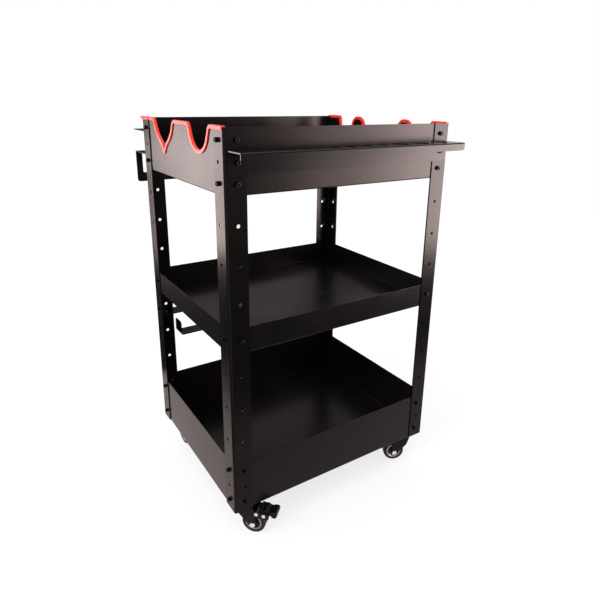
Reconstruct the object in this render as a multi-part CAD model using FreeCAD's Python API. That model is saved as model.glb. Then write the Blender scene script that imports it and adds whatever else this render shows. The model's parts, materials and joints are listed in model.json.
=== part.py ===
"""Rolling utility cart.

Three folded steel trays are bolted between four perforated angle posts.  The top tray has
notched side walls with push-on edge trim, a tool rail in front and a handle rack behind, and
a cord hook hangs in the frame.  Four swivel casters carry the bottom tray, two with brakes.

Millimetres.  X runs to the right along the front, Y to the back and Z up.  The origin is on
the floor, under the middle of the overall width and depth.
"""
import FreeCAD, Part
import math
import os

Vec = FreeCAD.Vector

# ---- Frame ---------------------------------------------------------------------------------
cart_width = 506.0          # over the outer faces of the posts, along X
cart_depth = 416.0          # over the outer faces of the posts, along Y
hole_pitch = 70.0           # between full rows of holes in the posts
pitch_count = 10            # full pitches from the lowest row to the highest
end_distance = 20.0         # from the last row to the end of a post
hole_from_corner = 23.0     # from a post's outer corner to its holes, on both flanges
post_flange = 40.0
post_sheet = 2.0
post_bend = 2.5             # inside radius
post_hole = 7.0

# ---- Trays ---------------------------------------------------------------------------------
tray_sheet = 1.2
tray_fold = 1.5             # inside radius between floor and wall
tray_corner = 2.5           # inside radius between two walls
shallow_tray_height = 50.0
shallow_tray_screws = 26.5  # from its underside up to its screws
screw_hole = 5.5

# ---- Notches in the top tray's side walls, from their crossing with the wall's top ---------
left_front_tab = 58.2
left_rear_tab = 75.0
bow_half_width = 46.5       # the rounded notch on the left
bow_depth = 45.5
bow_slope = 66.0            # degrees, as the other side slopes
keel_half_width = 57.0      # the pointed notch on the left
keel_shoulder = (40.0, 30.0)
keel_kink = (11.0, 47.5)
keel_depth = 63.5
keel_shoulder_radius = 70.0
keel_kink_radius = 4.0
keel_tip_radius = 2.0
right_front_tab = 46.0
right_rear_tab = 47.0
front_slot_half_width = 31.5
rear_slot_half_width = 28.0
slot_depth = 45.0
slot_slope = 80.0
dome_width = 32.5           # of the two short tabs on the right; the bay lies between them
bay_depth = 50.0
bay_slope = 62.0
left_lip_radius = 11.0
dome_lip_radius = 20.0      # rounds the two short tabs on the right
end_lip_radius = 4.7        # beside the posts on the right

# ---- Edge trim -----------------------------------------------------------------------------
trim_wall = 2.2             # thickness of the legs
trim_cap = 2.6              # thickness over the steel edge
trim_grip = 4.0             # how far the legs reach down the wall
trim_setback = 3.0          # the trim starts this far behind the front faces
trim_overhang = 4.0         # and runs this far past the back faces

# ---- Front rail ----------------------------------------------------------------------------
rail_reach = 50.0
rail_leg = 40.0
rail_lip = 15.0
rail_sheet = 2.0
rail_bend = 1.0             # inside radius
rail_inset = 5.0            # from the posts' outer corners
rail_corner = 5.0           # rounding at the ends of the lip
tool_holes = ((8.0, 4), (16.0, 3), (24.0, 4), (38.0, 3))   # diameter and how many
tool_hole_gap = 12.0        # steel between neighbouring holes
tool_hole_margin = 17.0     # steel before the first hole

# ---- Rear rack -----------------------------------------------------------------------------
rack_reach = 89.0
rack_web = 52.0
rack_sheet = 2.0
rack_bend = 2.0             # inside radius
rack_inset = 5.0
rack_drop = 71.0            # the grip plate's height below the web
rack_side_bar = 14.5
rack_grip_bar = 21.0
rack_corner = 6.0
rack_window_corner = 3.0

# ---- Cord hook -----------------------------------------------------------------------------
hook_row = 4
hook_width = 36.0
hook_sheet = 2.5
hook_bend = 4.0             # inside radius
hook_tab = 28.0
hook_reach = 130.0          # from the post's outer face to the closed end
hook_opening = 58.0         # between the two arms
hook_tip = 32.0
hook_tip_offset = 45.5      # from the post's outer face to the tip
hook_corner = 6.0

# ---- M5 socket screws and nuts -------------------------------------------------------------
screw_diameter = 5.0
screw_head = 8.5
screw_head_height = 5.0
screw_past_nut = 1.0
nut_across_flats = 8.0
nut_height = 4.0
thread_play = 0.1           # between a shank and what it passes through or holds

# ---- Casters -------------------------------------------------------------------------------
wheel_diameter = 50.0
tyre_width = 20.0
tyre_shoulder = 2.5
rim_diameter = 35.0
rim_width = 17.0
rim_ring = 3.5
rim_web = 6.0
hub_diameter = 14.0
axle_diameter = 6.0
axle_flats = 10.0           # across the flats of the axle's head and nut
axle_nut_height = 3.5
running_play = 0.1          # radial, on shafts that turn
side_play = 0.3             # between faces that pass each other
swivel_trail = 18.0
swivel_from_side = 39.0     # from a post's outer face, along X
swivel_from_front = 28.5    # from a post's outer face, along Y
fork_gap = 26.0             # inside the legs
fork_sheet = 2.0
fork_crown = 2.5
fork_bend = 3.0             # outside radius at the crown
crown_radius = 18.0
crown_back = 15.0           # from the swivel axis to the crown's rear edge
leg_end_radius = 6.0
leg_waist = (-12.0, 46.0)   # where the leg's front edge bends
head_gap = 13.0             # from the tyre's top to the crown
race_height = 3.2
race_inner = 9.0
race_outer = 15.0
boss_height = 2.5
boss_radius = 17.0
plate_sheet = 2.5
plate_length = 62.0
plate_width = 44.0
plate_corner = 4.0
plate_hole_length = 46.0    # between holes, along X
plate_hole_width = 30.0     # between holes, along Y
kingpin_diameter = 8.0
kingpin_head = 14.0
kingpin_head_height = 2.5

# ---- Brakes, in the wheel's plane: distance behind the swivel axis, and height -------------
rivet_diameter = 4.0
rivet_head = 8.0
rivet_head_height = 1.6
brake_pivot = (42.0, 51.0)
brake_guide = (26.0, 52.0)
ear_shoulder = (24.0, 57.0)
ear_tip = (54.5, 57.0)
ear_foot = (51.5, 42.0)
ear_corner = 4.0
shoe_gap = 2.0              # from the shoe to the tyre, brake off
shoe_angle = 30.0           # degrees above the axle, as seen from it
shoe_length = 6.0
shoe_corners = (1.0, 2.0)   # rounding at the shoe's tip and at its heel
pedal_side_play = 0.4
pedal_boss = 6.0            # from the pivot to the sides of the boss round it
pedal_boss_corner = 3.0
PEDAL_BACK = (              # from under the ears, round the toe pad to the hump over the pivot
    (50.0, 46.0, 3.0),
    (55.0, 54.5, 2.0),
    (58.5, 48.0, 3.5),
    (66.5, 48.0, 3.5),
    (70.0, 56.0, 6.0),
    (68.0, 62.3, 2.0),
    (60.0, 62.3, 3.0),
    (54.0, 59.0, 5.0),
    (45.0, 64.0, 2.5),
    (38.5, 62.8, 2.0),
    (31.5, 66.0, 2.0),
)

# ---- Places that follow ----------------------------------------------------------------------
post_length = pitch_count * hole_pitch + 2 * end_distance
deep_tray_height = hole_pitch + 2 * end_distance
wheel_radius = wheel_diameter / 2
crown_base = wheel_diameter + head_gap
crown_top = crown_base + fork_crown
race_base = crown_top + side_play
plate_base = race_base + race_height + boss_height
deck = plate_base + plate_sheet                 # underside of the bottom tray and the posts
post_top = deck + post_length
right = cart_width / 2
left = -right
front = (rail_reach - cart_depth - rack_reach) / 2
back = front + cart_depth
middle_row = pitch_count // 2
accessory_row = pitch_count - 0.5
post_rows = [0, 0.5, *range(1, pitch_count), accessory_row, pitch_count]

SIDES = {
    "front_left": (-1, -1),
    "front_right": (1, -1),
    "back_right": (1, 1),
    "back_left": (-1, 1),
}
CASTER_ANGLES = {               # the way each wheel trails, in degrees from +X
    "front_left": -47.8,
    "front_right": 152.4,
    "back_right": 118.0,
    "back_left": -86.0,
}
BRAKED = ("front_left", "back_left")


def row_height(row):
    return deck + end_distance + row * hole_pitch


# ---- Outlines --------------------------------------------------------------------------------
# An outline is a list of corners (u, v, radius); lift turns (u, v) into a point in space.

def on_xy(z):
    return lambda u, v: Vec(u, v, z)


def on_xz(y):
    return lambda u, v: Vec(u, y, v)


def on_yz(x):
    return lambda u, v: Vec(x, u, v)


def rounding(corners):
    """Length of edge that each corner's arc takes, shortened where an edge is too short."""
    count = len(corners)
    spans = []
    reaches = []
    for i, (u, v, radius) in enumerate(corners):
        before = corners[i - 1]
        after = corners[(i + 1) % count]
        spans.append(math.hypot(after[0] - u, after[1] - v))
        turn = math.atan2(after[1] - v, after[0] - u) - math.atan2(v - before[1], u - before[0])
        reaches.append(radius * abs(math.tan(turn / 2)))
    limits = [1.0] * count
    for i in range(count):
        j = (i + 1) % count
        wanted = reaches[i] + reaches[j]
        if wanted > spans[i]:
            share = 0.999 * spans[i] / wanted
            limits[i] = min(limits[i], share)
            limits[j] = min(limits[j], share)
    return [reach * limit for reach, limit in zip(reaches, limits)]


def outline_face(corners, lift):
    """Flat face inside a closed outline, with a tangent arc at every rounded corner."""
    count = len(corners)
    reaches = rounding(corners)
    stops = []
    for i, (u, v, radius) in enumerate(corners):
        here = Vec(u, v, 0)
        to_before = (Vec(*corners[i - 1][:2], 0) - here).normalize()
        to_after = (Vec(*corners[(i + 1) % count][:2], 0) - here).normalize()
        start = here + to_before * reaches[i]
        end = here + to_after * reaches[i]
        half = to_before.getAngle(to_after) / 2
        arc_radius = reaches[i] * math.tan(half)
        middle = here + (to_before + to_after) * 0.5 / math.cos(half) * (
            arc_radius / math.sin(half) - arc_radius
        )
        stops.append((start, middle, end, reaches[i] > 1e-6))
    edges = []
    for i, (start, middle, end, rounded) in enumerate(stops):
        if rounded:
            points = [lift(p.x, p.y) for p in (start, middle, end)]
            edges.append(Part.Arc(*points).toShape())
        following = stops[(i + 1) % count][0]
        if (following - end).Length > 1e-6:
            edges.append(Part.makeLine(lift(end.x, end.y), lift(following.x, following.y)))
    return Part.Face(Part.Wire(edges))


def shifted(corners, distance, closed):
    """The corners moved to the left of their direction of travel, with radii to match."""
    count = len(corners)
    moved = []
    for i, (u, v, radius) in enumerate(corners):
        here = Vec(u, v, 0)
        headings = []
        if closed or i > 0:
            headings.append((here - Vec(*corners[i - 1][:2], 0)).normalize())
        if closed or i < count - 1:
            headings.append((Vec(*corners[(i + 1) % count][:2], 0) - here).normalize())
        first = Vec(-headings[0].y, headings[0].x, 0)
        last = Vec(-headings[-1].y, headings[-1].x, 0)
        new = here + (first + last) * (distance / (1 + first.dot(last)))
        turns_left = headings[0].cross(headings[-1]).z > 0
        new_radius = radius - distance if turns_left else radius + distance
        moved.append((new.x, new.y, max(new_radius, 0.0) if radius > 0 else 0.0))
    return moved


def sheet_outline(path, thickness, bend):
    """Edge view of a bent sheet that lies to the left of a path of (u, v) points."""
    side = []
    for i, (u, v) in enumerate(path):
        radius = 0.0
        if 0 < i < len(path) - 1:
            before = path[i - 1]
            after = path[i + 1]
            cross = (u - before[0]) * (after[1] - v) - (v - before[1]) * (after[0] - u)
            radius = bend + thickness if cross > 0 else bend
        side.append((u, v, radius))
    return side + shifted(side, thickness, closed=False)[::-1]


def slab(corners, lift, along):
    return outline_face(corners, lift).extrude(along)


def rectangle(u0, v0, u1, v1, radius=0.0):
    return [(u0, v0, radius), (u1, v0, radius), (u1, v1, radius), (u0, v1, radius)]


def box(x0, y0, z0, x1, y1, z1):
    return Part.makeBox(x1 - x0, y1 - y0, z1 - z0, Vec(x0, y0, z0))


def rod(diameter, start, direction, length):
    return Part.makeCylinder(diameter / 2, length, start, direction)


def turned(profile):
    """A solid of revolution about the local Y axis, from corners (radius, y)."""
    points = [Vec(r, y, 0) for r, y in profile]
    face = Part.Face(Part.makePolygon(points + points[:1]))
    return face.revolve(Vec(0, 0, 0), Vec(0, 1, 0), 360)


def fuse_all(shapes):
    return shapes[0].multiFuse(shapes[1:]).removeSplitter() if len(shapes) > 1 else shapes[0]


def rounded_where(shape, radius, wanted):
    """Rounds the edges of a shape that pass a test."""
    edges = [edge for edge in shape.Edges if wanted(edge)]
    return shape.makeFillet(radius, edges)


def runs_along(edge, axis):
    ends = [vertex.Point for vertex in edge.Vertexes]
    return len(ends) == 2 and (ends[1] - ends[0]).normalize().cross(axis).Length < 1e-6


# ---- Posts and the screws that hold things to them -----------------------------------------

def corner_point(side_x, side_y, height=0.0):
    return Vec(right * side_x, front if side_y < 0 else back, height)


def flange_seats(side_x, side_y, rows, faces=("side", "end")):
    """Screw places on one post: the point on the outer face, and the way inwards."""
    for row in rows:
        corner = corner_point(side_x, side_y, row_height(row))
        if "end" in faces:
            yield corner + Vec(-side_x * hole_from_corner, 0, 0), Vec(0, -side_y, 0)
        if "side" in faces:
            yield corner + Vec(0, -side_y * hole_from_corner, 0), Vec(-side_x, 0, 0)


def all_seats(rows, faces=("side", "end")):
    for side_x, side_y in SIDES.values():
        yield from flange_seats(side_x, side_y, rows, faces)


def drilled(shape, seats, diameter):
    depth = 2 * (post_sheet + tray_sheet + rack_sheet)
    holes = [rod(diameter, point - inwards * depth / 2, inwards, depth) for point, inwards in seats]
    return shape.cut(Part.makeCompound(holes))


def make_post(name):
    side_x, side_y = SIDES[name]
    path = [(0, post_flange), (0, 0), (post_flange, 0)]
    outline = sheet_outline(path, post_sheet, post_bend)
    post = slab(outline, on_xy(deck), Vec(0, 0, post_length))
    post.rotate(Vec(0, 0, 0), Vec(0, 0, 1), 90 * list(SIDES).index(name))
    post.translate(corner_point(side_x, side_y))
    return drilled(post, flange_seats(side_x, side_y, post_rows), post_hole)


def make_screw(seat, grip):
    point, inwards = seat
    head = rod(screw_head, point - inwards * screw_head_height, inwards, screw_head_height)
    shank = rod(screw_diameter, point, inwards, grip + nut_height + screw_past_nut)
    return head.fuse(shank).removeSplitter()


def hex_prism(across_flats, height, bore):
    corners = []
    for i in range(6):
        angle = math.radians(60 * i)
        radius = across_flats / math.sqrt(3)
        corners.append((radius * math.cos(angle), radius * math.sin(angle), 0.0))
    prism = slab(corners, on_xy(0), Vec(0, 0, height))
    return prism.cut(rod(bore, Vec(0, 0, 0), Vec(0, 0, 1), height)) if bore else prism


def make_nut(seat, grip):
    point, inwards = seat
    nut = hex_prism(nut_across_flats, nut_height, screw_diameter + 2 * thread_play)
    nut.Placement = FreeCAD.Placement(point + inwards * grip, FreeCAD.Rotation(Vec(0, 0, 1), inwards))
    return nut


# ---- Trays -----------------------------------------------------------------------------------

def rounded_tub(x0, y0, z0, x1, y1, z1, corner, fold):
    """A block with rounded upright corners and rounded lower edges."""
    block = slab(rectangle(x0, y0, x1, y1, corner), on_xy(z0), Vec(0, 0, z1 - z0))
    return rounded_where(block, fold, lambda edge: edge.BoundBox.ZMax < z0 + 1e-6)


def make_tray(base, height, rows, extra_seats=()):
    """An open tray that fits inside the posts, with a screw in every flange at these rows."""
    x1 = right - post_sheet
    y0 = front + post_sheet
    y1 = back - post_sheet
    top = base + height
    skin = tray_sheet
    outside = rounded_tub(-x1, y0, base, x1, y1, top, tray_corner + skin, tray_fold + skin)
    inside = rounded_tub(
        skin - x1, y0 + skin, base + skin, x1 - skin, y1 - skin, top + skin, tray_corner, tray_fold
    )
    seats = [*all_seats(rows), *extra_seats]
    return drilled(outside.cut(inside), seats, screw_hole)


def bow_corners(centre, half_width, depth, slope, rear_lip, front_lip):
    """A rounded notch, from its rear corner to its front one."""
    rise = half_width * math.tan(math.radians(slope))
    bottom = (rise - depth) / (1 / math.cos(math.radians(slope)) - 1)
    return [
        (centre + half_width, post_top, rear_lip),
        (centre, post_top - rise, bottom),
        (centre - half_width, post_top, front_lip),
    ]


def keel_corners(centre):
    """A notch with swept shoulders that run into a point."""
    half = [
        (keel_half_width, 0.0, left_lip_radius),
        (*keel_shoulder, keel_shoulder_radius),
        (*keel_kink, keel_kink_radius),
    ]
    rear = [(centre + u, post_top - drop, radius) for u, drop, radius in half]
    ahead = [(centre - u, post_top - drop, radius) for u, drop, radius in half[::-1]]
    return [*rear, (centre, post_top - keel_depth, keel_tip_radius), *ahead]


def wall_corners(side_x):
    """Outline of a side wall's steel in the YZ plane, run on past both ends of the cart."""
    overrun = post_flange
    if side_x < 0:
        keel = keel_corners(back - left_rear_tab - keel_half_width)
        centre = front + left_front_tab + bow_half_width
        lips = (left_lip_radius, left_lip_radius)
        notches = [*keel, *bow_corners(centre, bow_half_width, bow_depth, bow_slope, *lips)]
    else:
        rear = back - right_rear_tab - rear_slot_half_width
        ahead = front + right_front_tab + front_slot_half_width
        bay_rear = rear - rear_slot_half_width - dome_width
        bay_ahead = ahead + front_slot_half_width + dome_width
        bay_centre = (bay_rear + bay_ahead) / 2
        rear_slot = (rear, rear_slot_half_width, slot_depth, slot_slope)
        bay = (bay_centre, bay_rear - bay_centre, bay_depth, bay_slope)
        front_slot = (ahead, front_slot_half_width, slot_depth, slot_slope)
        dome = dome_lip_radius
        notches = [
            *bow_corners(*rear_slot, end_lip_radius, dome),
            *bow_corners(*bay, dome, dome),
            *bow_corners(*front_slot, dome, end_lip_radius),
        ]
    base = post_top - deep_tray_height
    return [
        (front - overrun, base, 0.0),
        (back + overrun, base, 0.0),
        (back + overrun, post_top, 0.0),
        *notches,
        (front - overrun, post_top, 0.0),
    ]


def make_top_tray():
    accessory_seats = all_seats([accessory_row], faces=("end",))
    base = post_top - deep_tray_height
    tray = make_tray(base, deep_tray_height, (pitch_count - 1, pitch_count), accessory_seats)
    for side_x in (-1, 1):
        wall_x = side_x * (right - post_sheet)
        start = wall_x - 2 * tray_sheet
        across = Vec(4 * tray_sheet, 0, 0)
        blank = slab(rectangle(front, base, back, post_top + tray_sheet), on_yz(start), across)
        steel = slab(wall_corners(side_x), on_yz(start), across)
        keep = post_flange + post_sheet
        between = box(left, front + keep, base, right, back - keep, post_top + tray_sheet)
        tray = tray.cut(blank.cut(steel).common(between))
    return tray


def make_bottom_tray():
    tray = make_tray(deck, deep_tray_height, (0, 1))
    depth = 4 * tray_sheet
    holes = [
        rod(screw_hole, point + Vec(0, 0, depth / 2), Vec(0, 0, -1), depth)
        for point, _ in caster_seats()
    ]
    return tray.cut(Part.makeCompound(holes))


# ---- Edge trim -------------------------------------------------------------------------------

def make_trim(side_x):
    """Push-on U-section along the top of a side wall, wider where it also covers the posts."""
    wall_out = right - post_sheet
    wall_in = wall_out - tray_sheet
    steel = wall_corners(side_x)
    grown = shifted(steel, -trim_cap, closed=True)
    shrunk = shifted(steel, trim_grip, closed=True)
    start = front + trim_setback
    end = back + trim_overhang
    corner_room = post_sheet + tray_sheet + tray_corner
    flange_ends = (front + post_flange, back - post_flange)
    low = post_top - max(keel_depth, bow_depth, slot_depth, bay_depth) - 2 * trim_grip

    def layer(outline, x0, x1, y0, y1):
        body = slab(outline, on_yz(x0), Vec(x1 - x0, 0, 0))
        return body.common(box(x0, y0, low, x1, y1, post_top + 2 * trim_cap))

    def legs(x0, x1, y0, y1):
        return layer(steel, x0, x1, y0, y1).cut(slab(shrunk, on_yz(x0), Vec(x1 - x0, 0, 0)))

    def cap(x0, x1, y0, y1):
        return layer(grown, x0, x1, y0, y1).cut(slab(steel, on_yz(x0), Vec(x1 - x0, 0, 0)))

    pieces = [
        cap(wall_in - trim_wall, wall_out + trim_wall, start, end),
        legs(wall_in - trim_wall, wall_in, front + corner_room, back - corner_room),
        legs(wall_out, wall_out + trim_wall, *flange_ends),
        cap(wall_out, right + trim_wall, start, flange_ends[0] + trim_wall),
        cap(wall_out, right + trim_wall, flange_ends[1] - trim_wall, end),
        legs(right, right + trim_wall, start, flange_ends[0] + trim_wall),
        legs(right, right + trim_wall, flange_ends[1] - trim_wall, end),
        legs(wall_out, right, flange_ends[0], flange_ends[0] + trim_wall),
        legs(wall_out, right, flange_ends[1] - trim_wall, flange_ends[1]),
    ]
    trim = fuse_all(pieces)
    return trim.mirror(Vec(0, 0, 0), Vec(1, 0, 0)) if side_x < 0 else trim


# ---- Rail, rack and hook ---------------------------------------------------------------------

def make_front_rail():
    middle = row_height(accessory_row)
    length = cart_width - 2 * rail_inset
    start = -length / 2
    path = [
        (front, middle - rail_leg / 2),
        (front, middle + rail_leg / 2),
        (front - rail_reach, middle + rail_leg / 2),
        (front - rail_reach, middle + rail_leg / 2 - rail_lip),
    ]
    rail = slab(sheet_outline(path, rail_sheet, rail_bend), on_yz(start), Vec(length, 0, 0))
    lip_foot = middle + rail_leg / 2 - rail_lip
    rail = rounded_where(
        rail,
        rail_corner,
        lambda edge: runs_along(edge, Vec(0, 1, 0))
        and abs(edge.CenterOfMass.z - lip_foot) < 1e-6
        and edge.CenterOfMass.y < front - rail_reach / 2,
    )
    holes = []
    edge_x = start + tool_hole_margin
    for diameter, count in tool_holes:
        for _ in range(count):
            centre = Vec(edge_x + diameter / 2, front - rail_reach / 2, middle)
            holes.append(rod(diameter, centre, Vec(0, 0, 1), rail_leg))
            edge_x += diameter + tool_hole_gap
    rail = rail.cut(Part.makeCompound(holes))
    return drilled(rail, accessory_seats(-1), screw_hole)


def accessory_seats(side_y, sheet=0.0):
    """Screw places on the outer face of a sheet that lies on the posts' front or back."""
    for side_x in (-1, 1):
        for point, inwards in flange_seats(side_x, side_y, [accessory_row], faces=("end",)):
            yield point - inwards * sheet, inwards


def make_rear_rack():
    middle = row_height(accessory_row)
    high = middle + rack_web / 2
    low = middle - rack_web / 2
    foot = low - rack_drop
    length = cart_width - 2 * rack_inset
    far = back + rack_reach
    path = [
        (far, high),
        (back, high),
        (back, low),
        (far - rack_sheet, low),
        (far - rack_sheet, foot),
    ]
    rack = slab(sheet_outline(path, rack_sheet, rack_bend), on_yz(-length / 2), Vec(length, 0, 0))
    rack = rounded_where(
        rack,
        rack_corner,
        lambda edge: runs_along(edge, Vec(0, 1, 0)) and abs(edge.CenterOfMass.z - foot) < 1e-6,
    )
    half = length / 2 - rack_side_bar
    window_top = low - rack_bend - rack_sheet
    window = slab(
        rectangle(-half, foot + rack_grip_bar, half, window_top, rack_window_corner),
        on_xz(far - 2 * rack_sheet),
        Vec(0, 3 * rack_sheet, 0),
    )
    return drilled(rack.cut(window), accessory_seats(1), screw_hole)


def make_cord_hook():
    hole_height = row_height(hook_row)
    inner = left + post_sheet
    upper = hole_height - hook_tab / 2
    lower = upper - hook_opening
    path = [
        (inner, hole_height + hook_tab / 2),
        (inner, upper),
        (left + hook_reach - hook_sheet, upper),
        (left + hook_reach - hook_sheet, lower),
        (left + hook_tip_offset, lower),
        (left + hook_tip_offset, lower + hook_tip),
    ]
    start = back - hole_from_corner - hook_width / 2
    hook = slab(sheet_outline(path, hook_sheet, hook_bend), on_xz(start), Vec(0, hook_width, 0))
    tip = lower + hook_tip
    hook = rounded_where(
        hook,
        hook_corner,
        lambda edge: runs_along(edge, Vec(1, 0, 0)) and abs(edge.CenterOfMass.z - tip) < 1e-6,
    )
    return drilled(hook, flange_seats(-1, 1, [hook_row], faces=("side",)), screw_hole)


# ---- Casters: built with the swivel axis on local Z and the wheel trailing along +X ----------

def swivel_point(name):
    side_x, side_y = SIDES[name]
    corner = corner_point(side_x, side_y)
    return corner + Vec(-side_x * swivel_from_side, -side_y * swivel_from_front, 0)


def caster_seats():
    """Places of the screws that come down through the bottom tray into the plates."""
    for name in SIDES:
        for side_x, side_y in SIDES.values():
            offset = Vec(side_x * plate_hole_length / 2, side_y * plate_hole_width / 2, 0)
            yield swivel_point(name) + offset + Vec(0, 0, deck + tray_sheet), Vec(0, 0, -1)


def placed(shape, name, turn):
    if turn:
        shape.rotate(Vec(0, 0, 0), Vec(0, 0, 1), CASTER_ANGLES[name])
    shape.translate(swivel_point(name))
    return shape


def make_plate():
    half_x = plate_length / 2
    half_y = plate_width / 2
    blank = rectangle(-half_x, -half_y, half_x, half_y, plate_corner)
    plate = slab(blank, on_xy(plate_base), Vec(0, 0, plate_sheet))
    boss = rod(2 * boss_radius, Vec(0, 0, plate_base - boss_height), Vec(0, 0, 1), boss_height)
    plate = plate.fuse(boss).removeSplitter()
    holes = [rod(kingpin_diameter, Vec(0, 0, race_base), Vec(0, 0, 1), deck - race_base)]
    for side_x, side_y in SIDES.values():
        centre = Vec(side_x * plate_hole_length / 2, side_y * plate_hole_width / 2, plate_base)
        holes.append(rod(screw_hole, centre, Vec(0, 0, 1), plate_sheet))
    return plate.cut(Part.makeCompound(holes))


def make_race():
    base = Vec(0, 0, race_base)
    ring = rod(2 * race_outer, base, Vec(0, 0, 1), race_height)
    return ring.cut(rod(2 * race_inner, base, Vec(0, 0, 1), race_height))


def make_kingpin():
    head_top = crown_base - side_play
    head_base = Vec(0, 0, head_top - kingpin_head_height)
    head = rod(kingpin_head, head_base, Vec(0, 0, 1), kingpin_head_height)
    shank = rod(kingpin_diameter, Vec(0, 0, head_top), Vec(0, 0, 1), deck - head_top)
    return head.fuse(shank).removeSplitter()


def make_fork(braked):
    """Yoke pressed from one sheet; with a brake its legs carry ears behind the wheel."""
    half = fork_gap / 2 + fork_sheet
    axle = (swivel_trail, wheel_radius)
    leg = [
        (-crown_radius, crown_top, 0.0),
        (*leg_waist, crown_radius),
        (axle[0] - leg_end_radius, axle[1] - leg_end_radius, leg_end_radius),
        (axle[0] + leg_end_radius, axle[1] - leg_end_radius, leg_end_radius),
        (axle[0] + leg_end_radius, wheel_diameter, leg_end_radius),
        (crown_back, crown_top, 0.0),
    ]
    yoke = slab(leg, on_xz(-half), Vec(0, 2 * half, 0))
    yoke = rounded_where(
        yoke,
        fork_bend,
        lambda edge: runs_along(edge, Vec(1, 0, 0)) and edge.CenterOfMass.z > crown_top - 1e-6,
    )
    if braked:
        ear = [
            (0.0, crown_base, 0.0),
            (0.0, ear_foot[1], 0.0),
            (*ear_foot, ear_corner),
            (*ear_tip, ear_corner),
            (*ear_shoulder, 0.0),
        ]
        yoke = yoke.fuse(slab(ear, on_xz(-half), Vec(0, 2 * half, 0))).removeSplitter()
    far = ear_tip[0] + crown_radius
    gap = box(-far, -fork_gap / 2, 0, far, fork_gap / 2, crown_base)
    holes = [rod(axle_diameter + 2 * thread_play, Vec(axle[0], -half, axle[1]), Vec(0, 1, 0), 2 * half)]
    swivel_hole = kingpin_diameter + 2 * side_play
    holes.append(rod(swivel_hole, Vec(0, 0, crown_base), Vec(0, 0, 1), fork_crown))
    if braked:
        for u, v in (brake_pivot, brake_guide):
            holes.append(rod(rivet_diameter, Vec(u, -half, v), Vec(0, 1, 0), 2 * half))
    return yoke.cut(gap).cut(Part.makeCompound(holes))


def on_axle(shape):
    shape.translate(Vec(swivel_trail, 0, wheel_radius))
    return shape


def make_axle():
    half = fork_gap / 2 + fork_sheet
    head = hex_prism(axle_flats, axle_nut_height, 0)
    head.Placement = FreeCAD.Placement(Vec(0, -half, 0), FreeCAD.Rotation(Vec(0, 0, 1), Vec(0, -1, 0)))
    shank = rod(axle_diameter, Vec(0, -half, 0), Vec(0, 1, 0), 2 * half + axle_nut_height)
    return on_axle(head.fuse(shank).removeSplitter())


def make_axle_nut():
    half = fork_gap / 2 + fork_sheet
    nut = hex_prism(axle_flats, axle_nut_height, axle_diameter + 2 * thread_play)
    nut.Placement = FreeCAD.Placement(Vec(0, half, 0), FreeCAD.Rotation(Vec(0, 0, 1), Vec(0, 1, 0)))
    return on_axle(nut)


def make_rim():
    bore = axle_diameter / 2 + running_play
    hub = fork_gap / 2 - side_play
    outer = rim_diameter / 2
    ring = outer - rim_ring
    half_profile = [
        (bore, hub),
        (hub_diameter / 2, hub),
        (hub_diameter / 2, rim_web / 2),
        (ring, rim_web / 2),
        (ring, rim_width / 2),
        (outer, rim_width / 2),
    ]
    mirrored = [(radius, -y) for radius, y in half_profile[::-1]]
    return on_axle(turned(half_profile + mirrored))


def make_tyre():
    inner = rim_diameter / 2
    half = tyre_width / 2
    half_profile = [
        (inner, half),
        (wheel_radius - tyre_shoulder, half),
        (wheel_radius, half - tyre_shoulder),
    ]
    mirrored = [(radius, -y) for radius, y in half_profile[::-1]]
    return on_axle(turned(half_profile + mirrored))


def make_rivets():
    """The pedal's pivot and the guide rivet, headed outside the fork's ears."""
    half = fork_gap / 2 + fork_sheet
    rivets = []
    for u, v in (brake_pivot, brake_guide):
        shank = rod(rivet_diameter, Vec(u, -half, v), Vec(0, 1, 0), 2 * half)
        left_head = rod(rivet_head, Vec(u, -half, v), Vec(0, -1, 0), rivet_head_height)
        right_head = rod(rivet_head, Vec(u, half, v), Vec(0, 1, 0), rivet_head_height)
        rivets.append(fuse_all([shank, left_head, right_head]))
    return rivets


def make_pedal():
    """Foot pedal with its brake shoe in one piece, hung on the pivot rivet between the ears."""
    half = fork_gap / 2 - pedal_side_play
    pivot_u, pivot_v = brake_pivot
    reach = wheel_radius + shoe_gap
    angle = math.radians(shoe_angle)
    shoe = (swivel_trail + reach * math.cos(angle), wheel_radius + reach * math.sin(angle))
    tip_corner, heel_corner = shoe_corners
    outline = [
        (*shoe, tip_corner),
        (shoe[0] + shoe_length, shoe[1], heel_corner),
        *PEDAL_BACK,
        (pivot_u - pedal_boss, pivot_v - pedal_boss, pedal_boss_corner),
    ]
    pedal = slab(outline, on_xz(-half), Vec(0, 2 * half, 0))
    bore = rivet_diameter + 2 * running_play
    return pedal.cut(rod(bore, Vec(pivot_u, -half, pivot_v), Vec(0, 1, 0), 2 * half))


# ---- Build and export ------------------------------------------------------------------------

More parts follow.
